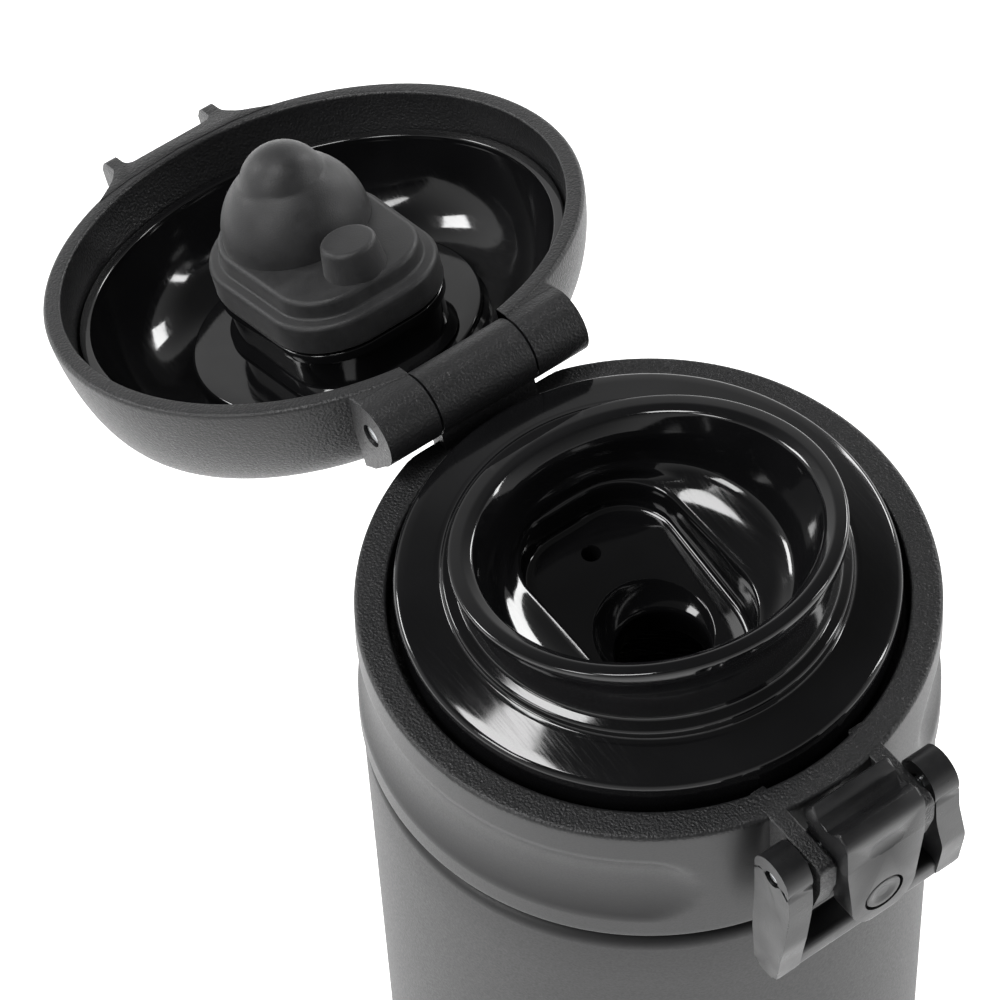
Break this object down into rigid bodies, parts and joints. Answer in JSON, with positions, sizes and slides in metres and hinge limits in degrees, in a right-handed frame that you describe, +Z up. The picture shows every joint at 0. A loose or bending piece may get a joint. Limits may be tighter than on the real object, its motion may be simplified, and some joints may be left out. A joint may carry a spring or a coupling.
{
  "type": "vacuum flask",
  "caption": "Slim double-walled bottle with a threaded stopper unit: raised drinking spout, sprung flip lid with a seal post, push button and swing-up lock ring.",
  "frame": {"origin": "centre of the flat base pad's underside, on the bottle's axis", "axes": "+Z up along the bottle's axis, -Y towards the push button, +Y towards the lid hinge"},
  "size_m": [0.0682, 0.1476, 0.2147],
  "materials": {
    "powder_coated_steel": "fine matt powder coat, black",
    "stainless_steel": "electropolished and brushed",
    "copper_foil": "wrapped bright foil",
    "getter_alloy": "sintered, dull",
    "silicone_rubber": "matt moulded",
    "textured_polypropylene": "spark-eroded fine texture",
    "satin_polypropylene": "satin moulded",
    "gloss_polypropylene": "polished",
    "satin_abs": "satin moulded",
    "spring_steel": "drawn wire"
  },
  "bodies": {
    "bottle": {"outer_shell": "powder_coated_steel", "inner_liner": "stainless_steel", "foil_wrap": "copper_foil", "base_plate": "stainless_steel", "getter": "getter_alloy", "base_pad": "silicone_rubber"},
    "gasket": {"stopper_gasket": "silicone_rubber"},
    "stopper": {"collar": "textured_polypropylene", "stopper_plug": "satin_polypropylene", "mouthpiece": "gloss_polypropylene", "mouthpiece_seal": "silicone_rubber", "hinge_pin": "stainless_steel", "torsion_spring": "spring_steel", "button_spring": "spring_steel", "latch_pin": "stainless_steel"},
    "lid": {"lid_shell": "textured_polypropylene", "lid_liner": "gloss_polypropylene", "stopper_post": "gloss_polypropylene", "post_seal": "silicone_rubber"},
    "button": {"button": "satin_abs", "button_inset": "satin_abs"},
    "lock_ring": {"lock_ring": "satin_abs"}
  },
  "joints": [
    {"name": "stopper_lift", "type": "slide", "parent": "bottle", "child": "gasket", "axis": [0, 0, 1], "range_m": [0, 0.0241]},
    {"name": "stopper_unscrew", "type": "hinge", "parent": "gasket", "child": "stopper", "pos_m": [0, 0, 0.198], "axis": [0, 0, 1], "range_deg": [0, 1080]},
    {"name": "lid_hinge", "type": "hinge", "parent": "stopper", "child": "lid", "pos_m": [0, 0.0341, 0.2025], "axis": [1, 0, 0], "range_deg": [0, 199.5], "stiffness_Nm_per_rad": 0.004, "springref_deg": -28.65},
    {"name": "button_press", "type": "hinge", "parent": "stopper", "child": "button", "pos_m": [0, -0.038, 0.1962], "axis": [1, 0, 0], "range_deg": [0, 8], "stiffness_Nm_per_rad": 0.02, "springref_deg": -5.73},
    {"name": "lock_ring_swing", "type": "hinge", "parent": "stopper", "child": "lock_ring", "pos_m": [0, -0.038, 0.1962], "axis": [-1, 0, 0], "range_deg": [0, 185]}
  ],
  "couplings": [
    {"joint": "stopper_lift", "follows": "stopper_unscrew", "m_per_rad": 0.0012732}
  ]
}
